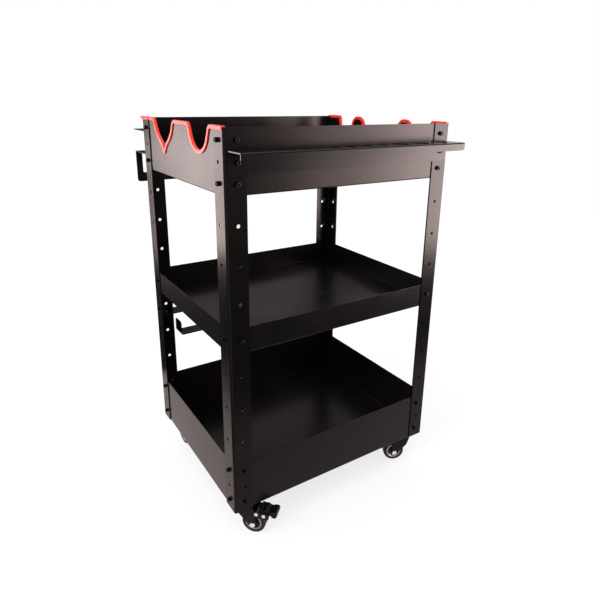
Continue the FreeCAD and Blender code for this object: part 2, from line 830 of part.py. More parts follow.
def build():
    parts = {}
    for name in SIDES:
        parts["post_" + name] = make_post(name)
    parts["top_tray"] = make_top_tray()
    middle_base = row_height(middle_row) - shallow_tray_screws
    parts["middle_tray"] = make_tray(middle_base, shallow_tray_height, (middle_row,))
    parts["bottom_tray"] = make_bottom_tray()
    parts["edge_trim_left"] = make_trim(-1)
    parts["edge_trim_right"] = make_trim(1)
    parts["front_rail"] = make_front_rail()
    parts["rear_rack"] = make_rear_rack()
    parts["cord_hook"] = make_cord_hook()

    wall_grip = post_sheet + tray_sheet
    tray_rows = (0, 1, middle_row, pitch_count - 1, pitch_count)
    groups = {
        "tray": [(seat, wall_grip) for seat in all_seats(tray_rows)],
        "rail": [(seat, rail_sheet + wall_grip) for seat in accessory_seats(-1, rail_sheet)],
        "rack": [(seat, rack_sheet + wall_grip) for seat in accessory_seats(1, rack_sheet)],
        "hook": [
            (seat, post_sheet + hook_sheet)
            for seat in flange_seats(-1, 1, [hook_row], faces=("side",))
        ],
        "caster": [(seat, tray_sheet + plate_sheet) for seat in caster_seats()],
    }
    for group, seats in groups.items():
        parts[group + "_screws"] = Part.makeCompound([make_screw(seat, grip) for seat, grip in seats])
        parts[group + "_nuts"] = Part.makeCompound([make_nut(seat, grip) for seat, grip in seats])

    for name in SIDES:
        braked = name in BRAKED
        caster = "caster_" + name
        parts[caster + "_plate"] = placed(make_plate(), name, turn=False)
        parts[caster + "_race"] = placed(make_race(), name, turn=False)
        parts[caster + "_kingpin"] = placed(make_kingpin(), name, turn=False)
        parts[caster + "_fork"] = placed(make_fork(braked), name, turn=True)
        parts[caster + "_axle"] = placed(make_axle(), name, turn=True)
        parts[caster + "_axle_nut"] = placed(make_axle_nut(), name, turn=True)
        parts[caster + "_rim"] = placed(make_rim(), name, turn=True)
        parts[caster + "_tyre"] = placed(make_tyre(), name, turn=True)
        if braked:
            rivets = [placed(rivet, name, turn=True) for rivet in make_rivets()]
            parts[caster + "_rivets"] = Part.makeCompound(rivets)
            parts[caster + "_pedal"] = placed(make_pedal(), name, turn=True)
    return parts


os.makedirs("parts", exist_ok=True)
for node, shape in build().items():
    shape.exportStep("parts/" + node + ".step")
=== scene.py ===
# %% [markdown]
# # Rolling utility cart
# Three folded steel trays are bolted between four perforated angle posts, and four swivel
# casters carry the lowest tray.  The model that loads first holds every piece at its real
# size and place.  The cells below light it, give each piece its finish, and rebuild with
# more care what the eye rests on: bent edges, screws, nuts, edge trim, wheels and pedals.

# %% Load the frame
import json
import math

import bmesh
import bpy
from mathutils import Matrix, Vector

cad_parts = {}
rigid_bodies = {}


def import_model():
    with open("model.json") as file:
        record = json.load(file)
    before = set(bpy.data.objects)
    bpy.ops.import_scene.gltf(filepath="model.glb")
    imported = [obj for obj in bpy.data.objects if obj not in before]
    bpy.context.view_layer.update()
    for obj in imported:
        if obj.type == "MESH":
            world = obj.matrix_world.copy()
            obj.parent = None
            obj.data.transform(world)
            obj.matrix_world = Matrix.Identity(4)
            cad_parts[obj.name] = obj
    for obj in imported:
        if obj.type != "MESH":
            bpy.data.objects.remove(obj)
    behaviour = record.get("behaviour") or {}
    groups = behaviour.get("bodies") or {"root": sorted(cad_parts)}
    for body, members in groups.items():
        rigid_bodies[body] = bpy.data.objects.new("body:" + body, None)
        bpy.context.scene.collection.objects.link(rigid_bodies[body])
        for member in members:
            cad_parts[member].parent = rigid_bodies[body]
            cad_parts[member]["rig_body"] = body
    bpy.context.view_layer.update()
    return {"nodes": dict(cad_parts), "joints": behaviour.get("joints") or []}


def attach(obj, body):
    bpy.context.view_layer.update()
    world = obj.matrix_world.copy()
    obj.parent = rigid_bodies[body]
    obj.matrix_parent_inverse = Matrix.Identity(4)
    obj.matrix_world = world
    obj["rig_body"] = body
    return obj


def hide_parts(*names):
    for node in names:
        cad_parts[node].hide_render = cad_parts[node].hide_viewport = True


MM = 0.001
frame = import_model()

# %% [markdown]
# ## The camera
# The cart is seen from ahead of its left front corner and from a little above the top tray,
# through a moderately wide lens.  A matrix made of three plain turns is easier to check than
# a tracking constraint: first the heading, then the tilt, then a slight lean of the horizon.

# %% Camera
eye = Vector((-606.0, -1001.6, 860.95)) * MM
heading = math.radians(33.49)
tilt_down = math.radians(17.65)
lean = math.radians(0.876)

lens = bpy.data.cameras.new("studio_camera")
lens.sensor_width = 36.0
lens.lens = 31.6
lens.shift_x = -0.0106
lens.shift_y = -0.059
camera = bpy.data.objects.new("studio_camera", lens)
camera.matrix_world = (
    Matrix.Translation(eye)
    @ Matrix.Rotation(-heading, 4, "Z")
    @ Matrix.Rotation(math.pi / 2 - tilt_down, 4, "X")
    @ Matrix.Rotation(lean, 4, "Z")
)
bpy.context.scene.collection.objects.link(camera)
bpy.context.scene.camera = camera
bpy.context.scene.view_settings.view_transform = "Standard"
print("camera stands", round(eye.length, 3), "m from the cart's foot")

# %% [markdown]
# ## A small language for materials
# Every finish is a node tree that reads Object coordinates, so a pattern keeps its real
# size on every piece.  A few helpers keep the trees short: they start a material, add a
# node with its sockets set, and add what the finishes share, which is a tone or a gloss
# that follows a pattern, and fine bumps.

# %% Material helpers
def add_node(tree, kind, **sockets):
    """A new node, with sockets set to constants or linked to other nodes' outputs."""
    node = tree.nodes.new(kind)
    for name, value in sockets.items():
        target = node.inputs[name.replace("_", " ")]
        if isinstance(value, bpy.types.NodeSocket):
            tree.links.new(value, target)
        else:
            target.default_value = value
    return node


def new_material(name, **sockets):
    """A material whose shader has these constants, with the place on the piece."""
    material = bpy.data.materials.new(name)
    material.use_nodes = True
    tree = material.node_tree
    shader = tree.nodes["Principled BSDF"]
    for socket, value in sockets.items():
        shader.inputs[socket.replace("_", " ")].default_value = value
    place = tree.nodes.new("ShaderNodeTexCoord").outputs["Object"]
    return material, tree, shader, place


def between(tree, factor, low, high):
    """A number that runs from low to high as a pattern's factor runs from 0 to 1."""
    node = add_node(tree, "ShaderNodeMapRange", Value=factor, To_Min=low, To_Max=high)
    return node.outputs["Result"]


def blended(tree, factor, dark, pale):
    """A colour between two, by a pattern's factor."""
    node = tree.nodes.new("ShaderNodeMix")
    node.data_type = "RGBA"
    tree.links.new(factor, node.inputs["Factor"])
    node.inputs["A"].default_value = (*dark, 1.0)
    node.inputs["B"].default_value = (*pale, 1.0)
    return node.outputs["Result"]


def roughened(tree, shader, heights, depth, strength):
    """Gives a shader bumps of a depth in metres."""
    bump = add_node(tree, "ShaderNodeBump", Height=heights, Distance=depth, Strength=strength)
    tree.links.new(bump.outputs["Normal"], shader.inputs["Normal"])


# %% [markdown]
# ## Satin black powder coat
# The frame and the trays are sprayed with dry powder that melts into a tough skin.  It
# flows out almost level, with a fine orange peel about a millimetre across, and its gloss
# drifts a little where the skin is thicker.  One noise makes the peel and another, a few
# centimetres wide, moves the roughness.  Batches of powder differ a little, so the frame,
# the trays, the tool rail and the casters each get their own roughness and sheen.

# %% Powder coat
PEEL = 1100.0        # bumps to a metre
DRIFT = 14.0         # patches of gloss to a metre
SKIN_PALER = 1.35    # how much paler the thickest skin is
SKIN_SWING = 0.04    # how far its roughness drifts either way


def powder_coat(name, colour, roughness, glint, specular):
    """Paint of a nearly black colour.  glint tints what it mirrors when seen squarely."""
    material, tree, shader, place = new_material(
        name, Specular_IOR_Level=specular, Specular_Tint=(*glint, 1.0)
    )
    peel = add_node(tree, "ShaderNodeTexNoise", Vector=place, Scale=PEEL, Detail=2.0)
    drift = add_node(tree, "ShaderNodeTexNoise", Vector=place, Scale=DRIFT, Detail=3.0)
    thicker = [channel * SKIN_PALER for channel in colour]
    tone = blended(tree, drift.outputs["Fac"], colour, thicker)
    tree.links.new(tone, shader.inputs["Base Color"])
    smooth, rough = roughness - SKIN_SWING, roughness + SKIN_SWING
    gloss = between(tree, drift.outputs["Fac"], smooth, rough)
    tree.links.new(gloss, shader.inputs["Roughness"])
    roughened(tree, shader, peel.outputs["Fac"], depth=0.00012, strength=0.25)
    return material


BLACK = (0.0045, 0.0038, 0.0037)
TRAY_BLACK = (0.0048, 0.0041, 0.0040)
CASTER_BLACK = (0.0050, 0.0045, 0.0045)
frame_coat = powder_coat("frame_powder_coat", BLACK, 0.22, (0.65, 0.59, 0.58), 0.13)
tray_coat = powder_coat("tray_powder_coat", TRAY_BLACK, 0.26, (0.32, 0.28, 0.275), 0.24)
rail_coat = powder_coat("rail_powder_coat", BLACK, 0.25, (0.12, 0.11, 0.11), 0.36)
caster_coat = powder_coat("caster_black_coat", CASTER_BLACK, 0.40, (0.75, 0.66, 0.64), 0.15)
print("coats:", [coat.name for coat in (frame_coat, tray_coat, rail_coat, caster_coat)])

# %% [markdown]
# ## Red trim
# The edge trim is an extruded strip of soft PVC.  Its colour goes right through, its gloss
# is between satin and gloss, and the die leaves hair-fine lines that are too small to see
# as lines but soften the highlight.

# %% Red PVC
MOTTLE = 30              # grains across one patch of the mottle
PLASTIC_PALER = 1.18     # how much paler the palest patch is
PLASTIC_SWING = 0.05     # how far its roughness drifts either way


def soft_plastic(name, colour, roughness, grain, specular):
    """Moulded plastic or rubber with so many grains to a metre, slightly mottled."""
    material, tree, shader, place = new_material(name, Specular_IOR_Level=specular)
    texture = add_node(tree, "ShaderNodeTexNoise", Vector=place, Scale=grain, Detail=3.0)
    patches = grain / MOTTLE
    mottle = add_node(tree, "ShaderNodeTexNoise", Vector=place, Scale=patches, Detail=2.0)
    paler = [min(channel * PLASTIC_PALER, 1.0) for channel in colour]
    tone = blended(tree, mottle.outputs["Fac"], colour, paler)
    tree.links.new(tone, shader.inputs["Base Color"])
    smooth, rough = roughness - PLASTIC_SWING, roughness + PLASTIC_SWING
    gloss = between(tree, mottle.outputs["Fac"], smooth, rough)
    tree.links.new(gloss, shader.inputs["Roughness"])
    roughened(tree, shader, texture.outputs["Fac"], depth=0.0001, strength=0.3)
    return material


RED = (0.92, 0.032, 0.010)
red_pvc = soft_plastic("red_trim_pvc", RED, roughness=0.30, grain=1500.0, specular=0.30)
print("trim:", red_pvc.name, "with", len(red_pvc.node_tree.nodes), "nodes")

# %% [markdown]
# ## Rubber, plastics and metals of the small parts
# The tyres are black polyurethane, the wheel cores and pedals moulded nylon.  Screws and
# nuts are blackened steel, so they sink into the black frame.  Ball races, rivets and axles
# are zinc plated: a pale metal whose crystals give it a faintly patchy, slightly rough
# shine.  The guard rings on the wheels are pressed from a browner, rougher metal.

# %% Small parts' finishes
SOOT = (0.007, 0.006, 0.006)
NYLON = (0.008, 0.007, 0.007)
DEEP = (0.0025, 0.0025, 0.0025)
tyre_rubber = soft_plastic("tyre_polyurethane", SOOT, 0.50, grain=900.0, specular=0.2)
core_nylon = soft_plastic("wheel_core_nylon", NYLON, 0.42, grain=1200.0, specular=0.3)
pedal_nylon = soft_plastic("pedal_nylon", DEEP, 0.45, grain=1300.0, specular=0.12)

FINER = 4          # specks of grit across one patch of a metal
POLISHED = 0.06    # how much smoother than its mean a metal gets
SCUFFED = 0.08     # how much rougher it gets


def plated_metal(name, dark, pale, roughness, patch):
    """Metal that is patchy in tone, so many patches to a metre, with a finer grit."""
    material, tree, shader, place = new_material(name, Metallic=1.0)
    crystals = add_node(tree, "ShaderNodeTexVoronoi", Vector=place, Scale=patch)
    fine = patch * FINER
    grit = add_node(tree, "ShaderNodeTexNoise", Vector=place, Scale=fine, Detail=2.0)
    tone = blended(tree, crystals.outputs["Distance"], dark, pale)
    tree.links.new(tone, shader.inputs["Base Color"])
    smooth, rough = roughness - POLISHED, roughness + SCUFFED
    gloss = between(tree, grit.outputs["Fac"], smooth, rough)
    tree.links.new(gloss, shader.inputs["Roughness"])
    roughened(tree, shader, grit.outputs["Fac"], depth=0.00004, strength=0.25)
    return material


INK, GRAPHITE = (0.009, 0.009, 0.009), (0.022, 0.021, 0.021)
DULL_ZINC, BRIGHT_ZINC = (0.62, 0.62, 0.63), (0.78, 0.78, 0.79)
BROWN, TAN = (0.27, 0.22, 0.20), (0.36, 0.30, 0.28)
zinc = plated_metal("zinc_plate", DULL_ZINC, BRIGHT_ZINC, 0.30, patch=700.0)
black_oxide = plated_metal("black_oxide", INK, GRAPHITE, 0.42, patch=900.0)
guard_metal = plated_metal("guard_ring_metal", BROWN, TAN, 0.50, patch=500.0)
print("finishes so far:", len(bpy.data.materials))

# %% [markdown]
# ## From a solid to a finished sheet-metal piece
# Real pressed steel has no knife edges: punching and coating leave every edge a few tenths
# of a millimetre round, and that is what catches the light.  The frame's solids come as
# loose triangles, so a copy is welded, its flat faces are joined again, and every sharp
# edge gets a narrow bevel.

# %% Welded copies and rounded edges
WELD = 0.000002                    # points nearer than this are one
NEARLY_FLAT = math.radians(0.4)    # faces that differ by less are joined
SHARP = math.radians(38)           # edges that turn more than this get a bevel


def welded(node):
    """A bmesh copy of a node's solid, its triangles joined into whole faces."""
    work = bmesh.new()
    work.from_mesh(frame["nodes"][node].data)
    bmesh.ops.remove_doubles(work, verts=work.verts, dist=WELD)
    bmesh.ops.dissolve_limit(
        work,
        angle_limit=NEARLY_FLAT,
        verts=work.verts,
        edges=work.edges,
        delimit={"NORMAL"},
    )
    return work


def sharp_edges(work):
    return [e for e in work.edges if e.is_manifold and e.calc_face_angle() > SHARP]


def round_edges(work, edges, radius, segments=2):
    bmesh.ops.bevel(
        work,
        geom=edges,
        offset=radius,
        offset_type="OFFSET",
        segments=segments,
        profile=0.5,
        affect="EDGES",
        material=-1,
        clamp_overlap=True,
    )


sample = welded("cord_hook")
print("cord hook:", len(sample.faces), "faces,", len(sharp_edges(sample)), "sharp edges")
sample.free()

# %% [markdown]
# ## From a mesh to a piece
# Shading is smooth over the rounded edges, with creases left only where the surface turns
# hard, and weighted normals keep the large faces truly flat.  Each piece then rides on a body
# of the cart, gets its finish, and stands for the solid it covers.

# %% Finished pieces
CREASE = math.radians(50)   # edges that turn more than this stay a crease in the shading


def mesh_from(work, name):
    """The bmesh as a mesh.  The bmesh itself is let go."""
    mesh = bpy.data.meshes.new(name)
    work.to_mesh(mesh)
    work.free()
    return mesh


def finish_piece(work, name, body, material, nodes=(), weighted=True):
    """Makes the bmesh a piece that rides on a body and stands for its nodes."""
    mesh = mesh_from(work, name)
    mesh.shade_smooth()
    mesh.set_sharp_from_angle(angle=CREASE)
    mesh.materials.append(material)
    piece = bpy.data.objects.new(name, mesh)
    bpy.context.scene.collection.objects.link(piece)
    if weighted:
        normals = piece.modifiers.new("flat_faces_first", "WEIGHTED_NORMAL")
        normals.keep_sharp = True
    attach(piece, body)
    if nodes:
        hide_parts(*nodes)
    return piece


def dressed(node, name, body, material, radius, segments=2):
    """A piece that is the node's own solid with rounded edges and a finish."""
    work = welded(node)
    round_edges(work, sharp_edges(work), radius, segments)
    return finish_piece(work, name, body, material, [node])


print("solids to stand for:", len(frame["nodes"]))

# %% [markdown]
# ## The posts, the trays and what is bolted to them
# All of these are punched and folded sheet, so one treatment fits them, with the width of
# the rounded edge as its only setting.  The rolled posts have the crispest edges, the trays
# softer ones, and the rail, rack and hook, which hands brush against, the softest.

# %% Sheet steel
POST_EDGE = 0.00020
TRAY_EDGE = 0.00030
BRACKET_EDGE = 0.00040
CORNERS = ("front_left", "front_right", "back_right", "back_left")
for corner in CORNERS:
    name = "angle_post_" + corner
    dressed("post_" + corner, name, "cart", frame_coat, POST_EDGE)
for tray in ("top_tray", "middle_tray", "bottom_tray"):
    dressed(tray, "folded_" + tray, "cart", tray_coat, TRAY_EDGE)
for node, name in (
    ("front_rail", "tool_rail"),
    ("rear_rack", "handle_rack"),
    ("cord_hook", "bent_cord_hook"),
):
    coat = rail_coat if node == "front_rail" else frame_coat
    piece = dressed(node, name, "cart", coat, BRACKET_EDGE)
    print(name, "has", len(piece.data.polygons), "faces")

# %% [markdown]
# ## The edge trim
# The strip is pressed over the notched wall, so it follows every curve.  Its two top
# corners are the roundest edges on the cart, and the lips of its legs are rounded less.
# The frame's solid already has the right path and section, so the strip is that solid with
# two widths of bevel: a wide one where the cap meets a leg, a narrow one elsewhere.

# %% Edge trim
CAP_ROUNDING = 0.0017
LIP_ROUNDING = 0.0004


def is_cap_corner(edge):
    """True where a face that looks outwards in the wall's plane meets a leg's side."""
    first, second = (face.normal for face in edge.link_faces)
    across, along = (first, second) if abs(first.x) > abs(second.x) else (second, first)
    return abs(across.x) > 0.9 and abs(along.x) < 0.1 and along.z > 0.08


for side in ("left", "right"):
    work = welded("edge_trim_" + side)
    cap_corners = [edge for edge in sharp_edges(work) if is_cap_corner(edge)]
    round_edges(work, cap_corners, CAP_ROUNDING, segments=3)
    round_edges(work, sharp_edges(work), LIP_ROUNDING)
    finish_piece(work, "pvc_trim_" + side, "cart", red_pvc, ["edge_trim_" + side])
    print(side, "trim rounded along", len(cap_corners), "edges of its cap")

# %% [markdown]
# ## Finding the fasteners
# Each fastener node of the frame holds many plain solids.  Splitting the node's mesh into
# its loose solids gives every screw's place, so nothing has to be measured twice.  The
# search goes through the corners in the mesh's own order, so it ends the same every time.

# %% Loose solids
def loose_solids(node):
    """The corner points of each separate solid in a node."""
    work = bmesh.new()
    work.from_mesh(frame["nodes"][node].data)
    bmesh.ops.remove_doubles(work, verts=work.verts, dist=WELD)
    reached = set()
    solids = []
    for start in work.verts:
        if start in reached:
            continue
        reached.add(start)
        solid = [start]
        for vertex in solid:
            for edge in vertex.link_edges:
                other = edge.other_vert(vertex)
                if other not in reached:
                    reached.add(other)
                    solid.append(other)
        solids.append([vertex.co.copy() for vertex in solid])
    work.free()
    return solids


def spans(points):
    """The lowest and the highest corner of the box round some points."""
    low = Vector([min(p[i] for p in points) for i in range(3)])
    high = Vector([max(p[i] for p in points) for i in range(3)])
    return low, high


found = {group: len(loose_solids(group + "_screws")) for group in ("hook", "rail", "tray")}
print("screws found:", found)

# %% [markdown]
# ## Which way a fastener points
# Screws and nuts lie along the cart's own axes, so the box round one says enough.  A
# screw's long direction is its axis, and its head is at the end where it is widest.  A nut
# is shortest along its axis, and its two ends are alike.

# %% Places of screws and nuts
END_ZONE = 0.001   # how near to an end a screw's width is measured


def facing(place, axis, way):
    """The matrix that stands Z along an axis, one way or the other, at a place."""
    outward = Vector((0, 0, 0))
    outward[axis] = way
    turn = outward.to_track_quat("Z", "Y").to_matrix().to_4x4()
    return Matrix.Translation(place) @ turn


def screw_place(points):
    """The matrix of one screw, with its origin at the tip and Z towards its head."""
    low, high = spans(points)
    sizes = high - low
    axis = max(range(3), key=lambda i: sizes[i])
    middle = (low + high) / 2

    def width_near(end):
        near = [p for p in points if abs(p[axis] - end) < END_ZONE]
        across = [i for i in range(3) if i != axis]
        return max(math.hypot(*(p[i] - middle[i] for i in across)) for p in near)

    way = 1.0 if width_near(high[axis]) > width_near(low[axis]) else -1.0
    tip = middle.copy()
    tip[axis] -= way * sizes[axis] / 2
    return facing(tip, axis, way), sizes[axis]


def nut_place(points):
    """The matrix of one nut: its axis is its shortest direction."""
    low, high = spans(points)
    sizes = high - low
    axis = min(range(3), key=lambda i: sizes[i])
    return facing((low + high) / 2, axis, 1.0)


hook_screw, length = screw_place(loose_solids("hook_screws")[0])
print("cord hook's screw:", round(length / MM, 1), "mm long, its tip at", end=" ")
print([round(c, 4) for c in hook_screw.translation])

# %% [markdown]
# ## Round and six-sided shapes
# A screw's head is round with a six-sided recess, and a nut is six-sided with a round bore.
# Both start as a drum whose number of sides is a multiple of six.  One ring of it can then
# stay round while another is moved onto a hexagon, and both still have as many corners.
# What is round all through, like a shank or a wheel, is a profile spun about Z.

# %% Drum, hexagon and lathe
SIDES = 24      # of a drum, a multiple of six so that it can become a hexagon
SAME = 1e-6     # heights nearer than this are one


def drum(work, radius, low, high):
    """A closed cylinder between two heights.  Gives back its vertices."""
    made = bmesh.ops.create_cone(
        work,
        cap_ends=True,
        segments=SIDES,
        radius1=radius,
        radius2=radius,
        depth=high - low,
    )
    bmesh.ops.translate(work, vec=(0, 0, (high + low) / 2), verts=made["verts"])
    return made["verts"]


def rim_edges(work, height, beyond):
    """The edges at one height whose ends lie further than a radius from the axis."""

    def on_rim(vertex):
        return abs(vertex.co.z - height) < SAME and vertex.co.xy.length > beyond

    return [edge for edge in work.edges if all(on_rim(end) for end in edge.verts)]


def to_hexagon(vertices, flats):
    """Moves a ring of vertices straight in or out onto a hexagon."""
    for vertex in vertices:
        turn = math.atan2(vertex.co.y, vertex.co.x) % (math.pi / 3) - math.pi / 6
        reach = flats / 2 / math.cos(turn)
        flat = vertex.co.xy.normalized() * reach
        vertex.co.x, vertex.co.y = flat


def turned(work, profile, steps):
    """Spins a profile of (radius, height) points into a closed shell about Z."""
    points = [work.verts.new((radius, 0, height)) for radius, height in profile]
    edges = [work.edges.new(pair) for pair in zip(points, points[1:])]
    bmesh.ops.spin(
        work,
        geom=points + edges,
        cent=(0, 0, 0),
        axis=(0, 0, 1),
        angle=math.tau,
        steps=steps,
        use_merge=True,
    )
    bmesh.ops.remove_doubles(work, verts=work.verts, dist=WELD)
    bmesh.ops.recalc_face_normals(work, faces=work.faces)


print("a drum has", SIDES, "sides,", SIDES // 6, "for each flat of a hexagon")

# %% [markdown]
# ## Socket head screws
# An M5 socket screw has a drum-shaped head with a soft rim, a six-sided recess, and a
# threaded shank.  The head is a short cylinder whose rim is bevelled.  Its top face is
# inset, and the inner ring is moved onto a hexagon and then sunk.  The thread is turned as
# a row of ridges rather than a true helix, because only its last turns ever show.  All
# screws of a group are alike, so one is modelled and then copied to every place found.

# %% Screw
def socket_screw(length, head=0.0085, head_height=0.005, shank=0.005, flats=0.004):
    """A screw that stands on its tip.  flats is the width of the key it takes."""
    work = bmesh.new()
    neck = length - head_height
    drum(work, head / 2, neck, length)
    top = next(f for f in work.faces if f.normal.z > 0.9)
    socket_radius = flats * 0.56    # a little less than the hexagon's corners
    bmesh.ops.inset_region(work, faces=[top], thickness=head / 2 - socket_radius)
    to_hexagon(top.verts, flats)
    floor = bmesh.ops.extrude_discrete_faces(work, faces=[top])["faces"][0]
    bmesh.ops.translate(work, vec=(0, 0, -head_height / 2), verts=floor.verts)
    round_edges(work, rim_edges(work, length, flats), radius=0.0006, segments=3)
    round_edges(work, rim_edges(work, neck, flats), radius=0.0002, segments=1)
    thread = bmesh.new()
    pitch = 0.0008
    depth = 0.00035
    threaded = 0.006
    profile = [(0.0, 0.0), (shank / 2 - 2 * depth, 0.0)]
    for turn in range(int(threaded / pitch)):
        profile.append((shank / 2, (turn + 0.75) * pitch))
        profile.append((shank / 2 - depth, (turn + 1.25) * pitch))
    profile += [(shank / 2, profile[-1][1] + pitch / 2), (shank / 2, neck), (0.0, neck)]
    turned(thread, profile, 16)
    shank_mesh = mesh_from(thread, "shank")
    work.from_mesh(shank_mesh)
    bpy.data.meshes.remove(shank_mesh)
    return work


def spread(template, places):
    """One bmesh that holds a copy of the template at each place."""
    mesh = mesh_from(template, "template")
    work = bmesh.new()
    for place in places:
        known = set(work.verts)
        work.from_mesh(mesh)
        fresh = [v for v in work.verts if v not in known]
        bmesh.ops.transform(work, matrix=place, verts=fresh)
    bpy.data.meshes.remove(mesh)
    return work


GROUPS = ("tray", "rail", "rack", "hook", "caster")
for group in GROUPS:
    lies = [screw_place(points) for points in loose_solids(group + "_screws")]
    work = spread(socket_screw(lies[0][1]), [place for place, _ in lies])
    name = group + "_socket_screws"
    finish_piece(work, name, "cart", black_oxide, [group + "_screws"])
    print(group, "screws:", len(lies), "each", round(lies[0][1] / MM, 1), "mm long")

# %% [markdown]
# ## Nuts
# A nut is a hexagonal ring with chamfered rims.  It starts as a round ring of many sides,
# because a hexagon with only six could not be joined neatly to a round bore.

# %% Nut
def hex_nut(flats=0.008, height=0.004, bore=0.0051):
    work = bmesh.new()
    body = drum(work, flats / 2, -height / 2, height / 2)
    to_hexagon(body, flats)
    caps = [f for f in work.faces if abs(f.normal.z) > 0.9]
    rim = flats * 0.12
    for cap in caps:
        bmesh.ops.inset_region(work, faces=[cap], thickness=rim)
        for vertex in cap.verts:
            vertex.co.x, vertex.co.y = vertex.co.xy.normalized() * bore / 2
    loops = [edge for cap in caps for edge in cap.edges]
    bmesh.ops.delete(work, geom=caps, context="FACES_ONLY")
    bmesh.ops.bridge_loops(work, edges=loops)
    for face_height in (height / 2, -height / 2):
        outer_rim = rim_edges(work, face_height, flats * 0.45)
        round_edges(work, outer_rim, radius=0.0004, segments=1)
    bmesh.ops.recalc_face_normals(work, faces=work.faces)
    return work


for group in GROUPS:
    places = [nut_place(points) for points in loose_solids(group + "_nuts")]
    work = spread(hex_nut(), places)
    name = group + "_hex_nuts"
    finish_piece(work, name, "cart", black_oxide, [group + "_nuts"])
print("nuts made for", len(GROUPS), "groups")

# %% [markdown]
# ## Casters
# Wheels are turned about Z at the origin, as at a bench, and then carried to their casters.
# The joints of the loaded model say where: the origin goes to the wheel's centre, X to the
# way the wheel trails, Y straight down and Z along the axle.

# %% A caster's own axes
joints = {joint["name"]: joint for joint in frame["joints"]}


def wheel_place(corner):
    """From bench axes, with the axle along Z, to the wheel's place on its caster."""
    centre = Vector(joints["roll_" + corner]["pos_m"])
    axle = Vector(joints["roll_" + corner]["axis"]).normalized()
    trail = centre - Vector(joints["swivel_" + corner]["pos_m"])
    trail.z = 0.0
    trail.normalize()
    up = Vector((0, 0, 1))
    across = up.cross(trail)
    assert abs(across.dot(axle)) > 0.999
    turn = Matrix((trail, -up, across)).transposed().to_4x4()
    return Matrix.Translation(centre) @ turn


print("wheels at", [tuple(round(c, 3) for c in wheel_place(c).translation) for c in CORNERS])

# %% [markdown]
# ## Tyre and wheel core
# Both are turned shapes, so each is a profile spun round the axle.  The tyre's tread is
# slightly crowned and its shoulders are soft arcs.  The core has a hub, a thin web and a
# ring under the tyre.  Both are alike on either side of their middle plane, so half a
# profile is written down and the rest is mirrored.  A profile's points are (radius, height
# along the axle), in metres.

# %% Tyre and core
WHEEL_STEPS = 64


def spun(profile):
    """A closed profile, turned to a full ring."""
    work = bmesh.new()
    turned(work, profile + profile[:1], WHEEL_STEPS)
    return work


def mirrored_profile(half):
    """Completes a profile given from its outer end to the middle plane."""
    return half + [(radius, -height) for radius, height in half[::-1]]


def arc_points(centre, radius, start, end, count):
    """Points on an arc in the (radius, height) plane, angles in degrees."""
    points = []
    for i in range(count + 1):
        angle = math.radians(start + (end - start) * i / count)
        across, up = radius * math.cos(angle), radius * math.sin(angle)
        points.append((centre[0] + across, centre[1] + up))
    return points


def tyre():
    half = [(0.0175, 0.0088), (0.0179, 0.0097)]
    half += arc_points((0.0217, 0.0070), 0.0030, 92, 20, 6)
    half += [(0.0248, 0.0055), (0.0250, 0.0020)]
    return spun(mirrored_profile(half))


def core():
    half = [
        (0.0032, 0.0126),
        (0.0060, 0.0126),
        (0.0068, 0.0120),
        (0.0070, 0.0045),
        (0.0082, 0.0032),
        (0.0125, 0.0030),
        (0.0138, 0.0040),
        (0.0142, 0.0080),
        (0.0148, 0.0085),
        (0.0174, 0.0085),
    ]
    return spun(mirrored_profile(half))


print("tyre and core are turned in", WHEEL_STEPS, "steps")

# %% [markdown]
# ## Guard rings, and the wheels in place
# A pressed metal ring covers the joint between core and tyre on each side.  It is a thin
# strip with two beads, so its face is drawn as a line of points, and the same points a
# little further in are its back.  Everything turned then goes to its caster and rides on
# that caster's wheel body, so it rolls.

# %% Guard rings and wheels
def guard_ring(side):
    """The ring for one side, 1 or -1: a strip with two beads, and its back."""
    thickness = 0.0006
    section = [
        (0.0139, 0.0084),
        (0.0142, 0.0092),
        (0.0148, 0.0095),
        (0.0153, 0.0090),
        (0.0164, 0.0089),
        (0.0169, 0.0095),
        (0.0175, 0.0094),
        (0.0178, 0.0087),
    ]
    profile = [(radius, side * height) for radius, height in section]
    profile += [(radius, side * (height - thickness)) for radius, height in section[::-1]]
    return spun(profile)


for corner in CORNERS:
    place = wheel_place(corner)
    caster = "caster_" + corner
    wheel = "wheel_" + corner
    for make, name, slot, material, nodes in (
        (tyre, "tyre_", "tyre_rubber", tyre_rubber, [caster + "_tyre"]),
        (core, "wheel_core_", "rim_plastic", core_nylon, [caster + "_rim"]),
        (lambda: guard_ring(1), "guard_ring_a_", "zinc", guard_metal, []),
        (lambda: guard_ring(-1), "guard_ring_b_", "zinc", guard_metal, []),
    ):
        work = make()
        bmesh.ops.transform(work, matrix=place, verts=work.verts)
        finish_piece(work, name + corner, wheel, material, nodes, weighted=False)
    print("four turned pieces ride on", wheel)

# %% [markdown]
# ## The steel of the casters
# Plates and forks are pressed steel with a black coat.  Races, kingpins, axles and rivets
# are zinc plated and shine.  All of them get rounded edges like the frame's.  The brake
# pedal is moulded, so its edges are the roundest, and it rides on a body of its own.

